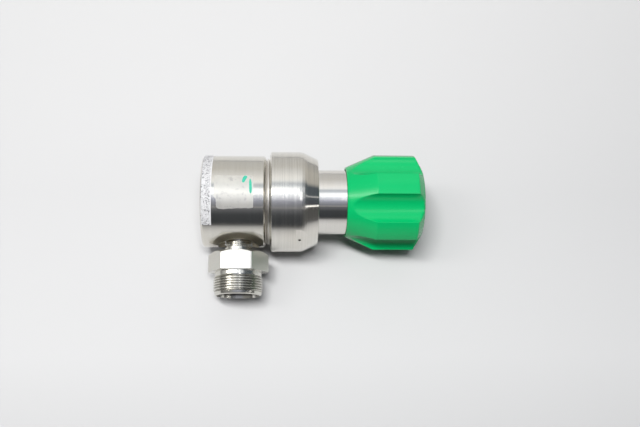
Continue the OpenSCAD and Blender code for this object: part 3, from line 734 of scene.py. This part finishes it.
def body_steel():
    """The turned body, with a duller, stained spot face round the fitting, a plain port opposite with painted shade
    that deepens into the bore, and painted light on the lighter, rougher stretch between the body's end and the ring.
    """
    t = steel("turned_stainless", (0.725, 0.705, 0.65), 0.135, 0.55)
    b = t.bsdf
    x, y, z = t.xyz()
    side = t.math("SUBTRACT", t.math("MULTIPLY", y, math.cos(PORT_A)), t.math("MULTIPLY", x, math.sin(PORT_A)))
    along = t.math("ADD", t.math("MULTIPLY", x, math.cos(PORT_A)), t.math("MULTIPLY", y, math.sin(PORT_A)))
    inlet = t.math("MULTIPLY_ADD", along, 1 / 0.001, 0.0, clamp=True)
    off = t.math("SUBTRACT", z, PORT_U * MM)
    d = t.math("SQRT", t.math("ADD", t.math("MULTIPLY", side, side), t.math("MULTIPLY", off, off)))
    face = t.math("MULTIPLY", inlet, t.math("MULTIPLY_ADD", d, -1 / 0.0003, 0.0125 / 0.0003, clamp=True))
    # painted shade: the tapped port opposite the fitting is darkened a little all over, and more towards its inside
    tapped = t.math("MULTIPLY", t.math("SUBTRACT", 1.0, inlet), t.math("MULTIPLY", t.math("MULTIPLY_ADD", d, -1 / 0.0004, 0.0088 / 0.0004, clamp=True), t.math("MULTIPLY_ADD", along, -1 / 0.001, -0.0125 / 0.001, clamp=True)))
    recess_painted_shade = t.math("MULTIPLY", tapped, t.math("MULTIPLY_ADD", along, 1 / 0.012, 0.0275 / 0.012, clamp=True))
    halo = t.math("MULTIPLY", t.math("MULTIPLY", inlet, t.math("MULTIPLY_ADD", d, -1 / 0.006, 0.0185 / 0.006, clamp=True)), t.math("MULTIPLY_ADD", t.noise(t.coords(), 260.0, 3.0, 0.6), 0.9, 0.1))
    col = b.inputs["Base Color"].links[0].from_socket
    col = t.mix(t.math("MULTIPLY", halo, 0.35), col, (0.52, 0.46, 0.35))
    col = t.mix(t.math("MULTIPLY", face, 0.75), col, (0.80, 0.72, 0.56))
    col = t.mix(t.math("MULTIPLY_ADD", recess_painted_shade, 0.55, t.math("MULTIPLY", tapped, 0.25)), col, (0.13, 0.125, 0.115))
    t.link(t.math("MULTIPLY_ADD", face, -0.65, 1.0), b.inputs["Metallic"])
    # painted light: a lighter base colour, with more roughness, over the thread gap from the body's end to the ring
    clamp = t.window(z, (BODY_LEN - 0.02) * MM, 0.053, 0.0001)
    col = t.mix(t.math("MULTIPLY", clamp, 0.8), col, (0.88, 0.85, 0.80))
    t.link(col, b.inputs["Base Color"])
    old = b.inputs["Roughness"].links[0].from_socket
    r = t.math("MULTIPLY_ADD", tapped, 0.10, t.math("MULTIPLY_ADD", face, 0.36, old))
    t.link(t.math("MULTIPLY_ADD", clamp, 0.24, r), b.inputs["Roughness"])
    return t.mat


m_body = body_steel()


def ring_steel():
    """The clamp ring: coarser turning on its cylinder, a smoother long chamfer."""
    t = steel("turned_stainless_ring", (0.75, 0.73, 0.68), 0.18, 0.65, marks=0.34, streaks=0.16, scratches=0.03)
    old = t.bsdf.inputs["Roughness"].links[0].from_socket
    cone = t.math("MULTIPLY_ADD", t.xyz()[2], 1 / 0.0015, -(RING_U + RING_CYL + 0.6) * MM / 0.0015, clamp=True)
    t.link(t.math("MULTIPLY_ADD", cone, -0.085, old), t.bsdf.inputs["Roughness"])
    return t.mat


m_ring = ring_steel()
m_neck = steel("polished_stainless", (0.75, 0.73, 0.69), 0.075, 0.55, marks=0.16).mat


def fitting_steel():
    """Turned ends, ground flats on the hexagon, a dull inner end face, and painted shade in the thread roots, the bore
    and the mouth cone.
    """
    t = steel("machined_stainless", (0.67, 0.66, 0.61), 0.15, marks=0.2, frame_of=M_PORT)
    b = t.bsdf
    x, y, z = t.xyz()
    rad = t.math("SQRT", t.math("ADD", t.math("MULTIPLY", x, x), t.math("MULTIPLY", y, y)))
    on_hex = t.math("MULTIPLY", t.window(z, HEX_H * MM, HEX_END * MM, 0.0002), t.math("MULTIPLY_ADD", rad, 1 / 0.0002, -0.0157 / 0.0002, clamp=True))
    inner = t.window(z, (HEX_H - 1.0) * MM, (HEX_H + 0.3) * MM, 0.0003)
    old = b.inputs["Roughness"].links[0].from_socket
    ground = t.noise(t.coords((300, 300, 2600)), 1.0, 3.0, 0.6)
    r = t.math("MULTIPLY_ADD", on_hex, t.math("MULTIPLY_ADD", ground, 0.10, 0.11), old)
    t.link(t.math("MULTIPLY_ADD", inner, 0.25, r), b.inputs["Roughness"])
    # painted shade: the bore past the hexagon, the narrow bore and the mouth cone are darkened almost to black
    recess_painted_shade = t.math("MULTIPLY", t.math("MULTIPLY_ADD", rad, -1 / 0.0004, 0.0113 / 0.0004, clamp=True), t.math("MULTIPLY_ADD", z, 1 / 0.0002, -(HEX_END + 0.4) * MM / 0.0002, clamp=True))
    recess_painted_shade = t.math("MAXIMUM", recess_painted_shade, t.math("MULTIPLY_ADD", rad, -1 / 0.0002, 0.0057 / 0.0002, clamp=True))
    cone = t.math("MULTIPLY", t.math("MULTIPLY_ADD", rad, -1 / 0.0003, 0.0127 / 0.0003, clamp=True), t.window(z, (FIT_END - 9.0) * MM, (FIT_END - 0.5) * MM, 0.0006))
    recess_painted_shade = t.math("MAXIMUM", recess_painted_shade, cone)
    col = b.inputs["Base Color"].links[0].from_socket
    # painted shade: the roots of the outer thread are darkened
    root = t.math("MULTIPLY", t.math("MULTIPLY_ADD", rad, -1 / 0.0004, (FIT_R - 0.28) * MM / 0.0004, clamp=True), t.math("MULTIPLY_ADD", rad, 1 / 0.0002, -13.6 * MM / 0.0002, clamp=True))
    root = t.math("MULTIPLY", root, t.window(z, (THREAD_H - 0.05) * MM, (FIT_END - 2.4) * MM, 0.0001))
    col = t.mix(t.math("MULTIPLY", root, 0.36), col, (0.10, 0.095, 0.085))
    t.link(t.mix(t.math("MULTIPLY", recess_painted_shade, 0.9), col, (0.075, 0.068, 0.062)), b.inputs["Base Color"])
    return t.mat


m_fit = fitting_steel()


def knob_plastic():
    t = Tree("satin_green_plastic")
    b = t.bsdf
    base = (0.001, 0.303, 0.089)
    grain = t.noise(t.coords(), 2600.0, 2.0, 0.6)
    cloud = t.noise(t.coords(), 45.0, 3.0, 0.5)
    scuff = t.ramp(t.noise(t.coords((160, 1500, 420), (0.5, 0.2, 0.9)), 1.0, 2.0, 0.5), [(0.70, 0.0), (0.78, 1.0)])
    col = t.mix(t.ramp(cloud, [(0.3, 0.0), (0.75, 0.35)]), base, tuple(c * 0.88 for c in base))
    col = t.mix(t.math("MULTIPLY", scuff, 0.10), col, (0.05, 0.33, 0.16))
    t.link(col, b.inputs["Base Color"])
    r = t.math("MULTIPLY_ADD", cloud, 0.10, 0.17)
    t.link(t.math("MULTIPLY_ADD", scuff, 0.12, r), b.inputs["Roughness"])
    b.inputs["Specular IOR Level"].default_value = 0.27
    t.link(t.bump(grain, 0.10, 0.00003), b.inputs["Normal"])
    return t.mat


m_knob = knob_plastic()


def foil():
    """Crumpled metallised film with worn dark flecks."""
    t = Tree("metallised_film")
    b = t.bsdf
    grain = t.noise(t.coords(), 1500.0, 3.0, 0.6)

    def flecks(scale, start, loc):
        return t.ramp(t.noise(t.coords((1, 1, 1), (0.3, 0.2, 0.7), loc), scale, 2.0, 0.6), [(start, 0.0), (start + 0.04, 1.0)])

    dark = t.math("MAXIMUM", flecks(1300.0, 0.555, (0, 0, 0)), t.math("MULTIPLY", flecks(2300.0, 0.56, (5, 2, 1)), 0.85))
    keep = t.ramp(t.noise(t.coords((1, 1, 1), (0, 0, 0), (2, 5, 1)), 300.0, 2.0, 0.5), [(0.34, 0.22), (0.50, 1.0)])
    margin = t.math("MULTIPLY_ADD", t.xyz()[2], -1 / 0.0005, 0.0061 / 0.0005, clamp=True)
    dark = t.math("MULTIPLY", t.math("MULTIPLY", dark, keep), t.math("MULTIPLY_ADD", margin, 0.9, 0.1))
    col = t.mix(t.math("MULTIPLY", dark, 0.92), (0.515, 0.515, 0.525), (0.05, 0.052, 0.058))
    col = t.mix(t.math("MULTIPLY", t.ramp(grain, [(0.50, 0.0), (0.66, 1.0)]), 0.16), col, (0.33, 0.33, 0.345))
    t.link(col, b.inputs["Base Color"])
    b.inputs["Metallic"].default_value = 0.06
    t.link(t.math("MULTIPLY_ADD", grain, 0.25, 0.32), b.inputs["Roughness"])
    h = t.math("SUBTRACT", t.math("MULTIPLY", grain, 0.5), dark)
    t.link(t.bump(h, 0.5, 0.00012), b.inputs["Normal"])
    return t.mat


def paper_film():
    t = Tree("worn_cream_film")
    b = t.bsdf
    fibre = t.noise(t.coords((900, 900, 2200)), 1.0, 4.0, 0.65)
    blot = t.noise(t.coords((1, 1, 1), (0, 0, 0), (4, 1, 3)), 140.0, 4.0, 0.6)
    wear = t.noise(t.coords((1, 1, 1), (0, 0, 0), (1, 8, 2)), 330.0, 4.0, 0.7)
    col = t.mix(t.ramp(blot, [(0.40, 0.0), (0.70, 0.8)]), (0.62, 0.606, 0.56), (0.54, 0.53, 0.495))
    col = t.mix(t.ramp(wear, [(0.57, 0.0), (0.68, 0.6)]), col, (0.34, 0.33, 0.34))
    col = t.mix(t.math("MULTIPLY", fibre, 0.2), col, (0.74, 0.72, 0.66))
    t.link(col, b.inputs["Base Color"])
    b.inputs["Metallic"].default_value = 0.76
    t.link(t.math("MULTIPLY_ADD", wear, 0.18, t.math("MULTIPLY_ADD", fibre, 0.1, 0.24)), b.inputs["Roughness"])
    t.link(t.bump(t.math("ADD", fibre, t.math("MULTIPLY", blot, 2.0)), 0.18, 0.00005), b.inputs["Normal"])
    return t.mat


def paint():
    t = Tree("green_marker_paint")
    b = t.bsdf
    brush = t.noise(t.coords((1800, 1800, 500)), 1.0, 3.0, 0.6)
    col = t.mix(t.ramp(brush, [(0.35, 0.0), (0.65, 1.0)]), (0.023, 0.30, 0.205), (0.042, 0.345, 0.245))
    t.link(col, b.inputs["Base Color"])
    t.link(t.math("MULTIPLY_ADD", brush, 0.15, 0.35), b.inputs["Roughness"])
    t.link(t.bump(brush, 0.35, 0.00004), b.inputs["Normal"])
    return t.mat


def sinter():
    t = Tree("sintered_bronze")
    b = t.bsdf
    b.inputs["Metallic"].default_value = 1.0
    cell = t.voronoi(t.coords(), 3200.0)
    t.link(t.ramp(cell, [(0.15, (0.52, 0.38, 0.22)), (0.6, (0.20, 0.14, 0.09))]), b.inputs["Base Color"])
    t.link(t.math("MULTIPLY_ADD", cell, 0.4, 0.35), b.inputs["Roughness"])
    t.link(t.bump(t.math("MULTIPLY", cell, -1.0), 0.8, 0.00015), b.inputs["Normal"])
    return t.mat


def dress(ob, mat):
    ob.data.materials.clear()
    ob.data.materials.append(mat)


m_foil, m_paper, m_paint = foil(), paper_film(), paint()
m_plain = plain_metal("machined_steel", (0.60, 0.59, 0.565), 0.28)
m_ball = plain_metal("polished_ball", (0.78, 0.78, 0.79), 0.14, 300.0, mark=0.05)
m_black = plain_metal("black_oxide", (0.055, 0.055, 0.06), 0.42, 700.0, 0.85, 0.3)
m_wire = plain_metal("spring_wire", (0.30, 0.31, 0.33), 0.34, 1500.0)
m_brass = plain_metal("turned_brass", (0.70, 0.51, 0.22), 0.30)
m_rubber = soft_stuff("seal_rubber", (0.022, 0.022, 0.023), 0.55, 2400.0, 0.00003, 0.4)
m_seat = soft_stuff("seat_polymer", (0.60, 0.44, 0.25), 0.42, 1800.0, 0.00002)
m_slip = soft_stuff("slip_polymer", (0.84, 0.84, 0.81), 0.40, 1500.0, 0.00002, vary=0.92)
m_sinter = sinter()
for ob, mat in ((body, m_body), (ring, m_ring), (bonnet, m_neck), (fitting, m_fit), (knob, m_knob), (cap, m_knob), (band, m_foil), (paper, m_paper),
        (dab_a, m_paint), (dab_b, m_paint), (load_coil, m_wire), (poppet_coil, m_wire), (diaphragm, m_plain)):
    dress(ob, mat)
by_slot = {"plain_steel": m_plain, "ball_steel": m_ball, "black_steel": m_black, "spring_steel": m_wire, "insert_brass": m_brass, "seal_rubber": m_rubber,
    "seat_plastic": m_seat, "slip_plastic": m_slip, "sintered_bronze": m_sinter, "body_steel": m_body, "ring_steel": m_ring, "neck_steel": m_neck,
    "fitting_steel": m_fit, "knob_green": m_knob, "band_foil": m_foil, "paper_cream": m_paper}
for sub in frame["record"]["subparts"]:
    node = frame["nodes"].get(sub["node"])
    if node is not None:
        if len(node.material_slots) == 0:
            node.data.materials.append(by_slot[sub["material_slot"]])
        for s in node.material_slots:
            s.material = by_slot[sub["material_slot"]]

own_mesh(load_coil)
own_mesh(poppet_coil)
# each diaphragm point's distance from the axis, and a share from 1 at its centre to 0 past its convolution; nothing
# moves the diaphragm with it
middle = Vector(on_axis(FACE_U))
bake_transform(diaphragm)
reach = np.array([math.hypot(v.co.y - middle.y, v.co.z - middle.z) for v in diaphragm.data.vertices])
share = np.clip((0.0191 - reach) / 0.0032, 0.0, 1.0)

# ------------------------------------------------------------------ floor and light
floor = mesh_object("floor", [(-4, -4, 0), (4, -4, 0), (4, 4, 0), (-4, 4, 0)], [(0, 1, 2, 3)])
tf = Tree("pale_floor_painted_falloff")
fsep = tf.node("ShaderNodeSeparateXYZ")
ftc = tf.node("ShaderNodeTexCoord")
tf.link(ftc.outputs["Object"], fsep.inputs[0])
# painted light fall-off: the floor's colour darkens to the right and to the front and lightens behind, in place of the
# light's own fall-off
slope = tf.math("MULTIPLY_ADD", fsep.outputs[0], 0.7, tf.math("MULTIPLY", fsep.outputs[1], -1.1))
shade = tf.ramp(tf.math("MULTIPLY_ADD", slope, 1.0, 0.5, clamp=True), [(0.30, 0.0), (0.85, 1.0)])
cloud = tf.noise(tf.coords(), 6.0, 3.0, 0.5)
fcol = tf.mix(shade, (0.44, 0.44, 0.444), (0.39, 0.392, 0.397))
fcol = tf.mix(tf.math("MULTIPLY", cloud, 0.06), fcol, (0.38, 0.38, 0.384))
front = tf.ramp(tf.math("MULTIPLY_ADD", fsep.outputs[1], -1.0, 0.0, clamp=True), [(0.075, 0.0), (0.15, 0.19), (0.30, 0.44), (0.75, 0.66)])
fcol = tf.mix(front, fcol, (0.12, 0.12, 0.122))
behind = tf.ramp(tf.math("MULTIPLY_ADD", fsep.outputs[1], 1.0, 0.0, clamp=True), [(0.04, 0.0), (0.17, 0.24), (0.45, 0.85), (0.9, 1.0)])
fcol = tf.mix(behind, fcol, (0.62, 0.62, 0.62))
tf.link(fcol, tf.bsdf.inputs["Base Color"])
tf.bsdf.inputs["Roughness"].default_value = 0.85
tf.bsdf.inputs["Specular IOR Level"].default_value = 0.2
dress(floor, tf.mat)

world = bpy.data.worlds.new("studio")
scene.world = world
world.use_nodes = True
wn = world.node_tree
wn.nodes.clear()


def wnode(kind, **props):
    n = wn.nodes.new(kind)
    for k, v in props.items():
        setattr(n, k, v)
    return n


def wmath(op, a, b=0.0, c=None, clamp=False):
    n = wnode("ShaderNodeMath", operation=op, use_clamp=clamp)
    for s, v in zip(n.inputs, (a, b) if c is None else (a, b, c)):
        if hasattr(v, "is_output"):
            wn.links.new(v, s)
        else:
            s.default_value = v
    return n.outputs[0]


def wramp(fac, stops):
    n = wnode("ShaderNodeValToRGB")
    el = n.color_ramp.elements
    while len(el) < len(stops):
        el.new(0.5)
    for e, (p, c) in zip(el, stops):
        e.position = p
        e.color = (c, c, c, 1) if isinstance(c, (int, float)) else (*c, 1)
    wn.links.new(fac, n.inputs[0])
    return n.outputs["Color"]


def wmix(fac, a, b):
    n = wnode("ShaderNodeMix", data_type="RGBA")
    wn.links.new(fac, n.inputs[0])
    wn.links.new(a, n.inputs[6])
    wn.links.new(b, n.inputs[7])
    return n.outputs[2]


wtc = wnode("ShaderNodeTexCoord")
wsep = wnode("ShaderNodeSeparateXYZ")
wn.links.new(wtc.outputs["Generated"], wsep.inputs[0])
wx, wy, wz = wsep.outputs
turn = wmath("ARCTAN2", wmath("MULTIPLY", wy, -1.0), wz)
turn01 = wmath("MULTIPLY_ADD", turn, 1 / (2 * math.pi), 0.5)
across = wmath("MULTIPLY_ADD", wx, 0.5, 0.5)


def at(deg):
    return deg / 360.0 + 0.5


def ax(x):
    return x * 0.5 + 0.5


# a pale backdrop behind, a dark room in front, and a soft box overhead that leans to the front left
mid = wramp(turn01, [(at(-180), 0.30), (at(-95), 0.62), (at(-58), (0.70, 0.69, 0.67)), (at(-42), 0.87), (at(-26), 1.12), (at(-17), (1.12, 1.15, 1.18)), (at(-13), (0.68, 0.73, 0.80)), (at(-9), (0.68, 0.74, 0.82)), (at(12), (0.92, 0.99, 1.12)),
    (at(19), (0.80, 0.845, 0.97)), (at(24), (0.53, 0.56, 0.68)), (at(29), (0.42, 0.44, 0.54)), (at(36), (0.32, 0.335, 0.385)), (at(42.8), (0.215, 0.22, 0.26)), (at(44), 0.46), (at(45.2), 0.46), (at(46.4), (0.175, 0.18, 0.20)), (at(62), (0.064, 0.069, 0.077)), (at(84), (0.05, 0.054, 0.061)), (at(97), 0.2), (at(180), 0.30)])
far = wramp(turn01, [(at(-180), 0.20), (at(-95), 0.38), (at(-60), (0.56, 0.545, 0.51)), (at(-30), (0.54, 0.525, 0.49)), (at(-22), (0.30, 0.31, 0.31)), (at(-17), (0.10, 0.12, 0.14)), (at(12), (0.10, 0.12, 0.14)), (at(42.4), (0.075, 0.08, 0.095)),
    (at(46), 0.10), (at(60), 0.105), (at(80), 0.11), (at(95), 0.15), (at(180), 0.20)])
near = wramp(turn01, [(at(-180), 0.16), (at(-95), 0.20), (at(-58), 0.26), (at(-30), 0.42), (at(-12), 0.62), (at(15), 0.62), (at(31), 0.32), (at(60), 0.12), (at(85), 0.08), (at(95), 0.15), (at(180), 0.16)])
to_far = wramp(across, [(ax(0.16), 0.0), (ax(0.60), 1.0)])
to_near = wramp(across, [(ax(-0.55), 1.0), (ax(-0.25), 0.0)])
room = wmix(to_far, wmix(to_near, mid, near), far)
strip = wramp(turn01, [(at(-6), 0.0), (at(1), 1.0), (at(9), 1.0), (at(15), 0.0)])
side = wramp(across, [(ax(-0.84), 0.0), (ax(-0.76), 1.9), (ax(-0.56), 1.9), (ax(-0.46), 1.0), (ax(-0.20), 1.0), (ax(-0.12), 0.5), (ax(-0.04), 0.24), (ax(0.0), 0.12), (ax(0.05), 0.12), (ax(0.07), 0.24), (ax(0.10), 0.24), (ax(0.13), 0.0)])
lamp = wmath("MULTIPLY", wramp(turn01, [(at(-6), 0.0), (at(-4), 1.0), (at(8), 1.0), (at(10), 0.0)]), wramp(across, [(ax(0.33), 0.0), (ax(0.35), 1.0), (ax(0.41), 1.0), (ax(0.43), 0.0)]))
glow = wmath("MULTIPLY", wramp(turn01, [(at(8), 0.0), (at(12), 1.0), (at(24), 1.0), (at(28), 0.0)]), wramp(across, [(ax(0.115), 0.0), (ax(0.14), 1.0), (ax(0.22), 1.0), (ax(0.26), 0.0)]))
slit = wmath("MULTIPLY", wramp(turn01, [(at(12.4), 0.0), (at(13), 0.4), (at(14), 0.4), (at(14.6), 0.0), (at(43.0), 0.0), (at(43.6), 1.0), (at(45.0), 1.0), (at(45.6), 0.0)]), wramp(across, [(ax(0.50), 0.0), (ax(0.60), 1.0)]))
spark = wmath("MULTIPLY", wramp(turn01, [(at(1), 0.0), (at(4), 1.0), (at(12), 1.0), (at(15), 0.0)]), wramp(across, [(ax(-0.74), 0.0), (ax(-0.70), 1.0), (ax(-0.55), 1.0), (ax(-0.50), 0.0)]))
panel = wmath("MULTIPLY_ADD", wmath("MULTIPLY_ADD", spark, 1.6, wmath("MULTIPLY", strip, side)), 3.6, wmath("MULTIPLY_ADD", lamp, 1.5, wmath("MULTIPLY_ADD", glow, 3.2, wmath("MULTIPLY", slit, 3.0))))
path = wnode("ShaderNodeLightPath")
share = wmath("MULTIPLY_ADD", path.outputs["Is Diffuse Ray"], -0.40, 1.0)
bg_room = wnode("ShaderNodeBackground")
wn.links.new(room, bg_room.inputs["Color"])
wn.links.new(share, bg_room.inputs["Strength"])
bg_panel = wnode("ShaderNodeBackground")
bg_panel.inputs["Color"].default_value = (1.0, 0.99, 0.975, 1)
wn.links.new(wmath("MULTIPLY", panel, share), bg_panel.inputs["Strength"])
wadd = wnode("ShaderNodeAddShader")
wn.links.new(bg_room.outputs[0], wadd.inputs[0])
wn.links.new(bg_panel.outputs[0], wadd.inputs[1])
wout = wnode("ShaderNodeOutputWorld")
wn.links.new(wadd.outputs[0], wout.inputs[0])

# a soft box for the floor and the matt surfaces; the polished steel sees the room's own panel instead
key_data = bpy.data.lights.new("soft_box", "AREA")
key_data.shape = "RECTANGLE"
key_data.size, key_data.size_y = 0.55, 0.13
key_data.energy = 15.6
key_data.color = (1.0, 0.995, 0.985)
key = bpy.data.objects.new("soft_box", key_data)
scene.collection.objects.link(key)
aim = Vector((-0.12, -0.208, 0.966)).normalized()
key.matrix_world = Matrix.Translation(Vector((0, 0, 0.02)) + aim * 1.0) @ aim.to_track_quat("Z", "Y").to_matrix().to_4x4()
key.visible_glossy = False
key.visible_camera = False

bpy.context.view_layer.update()
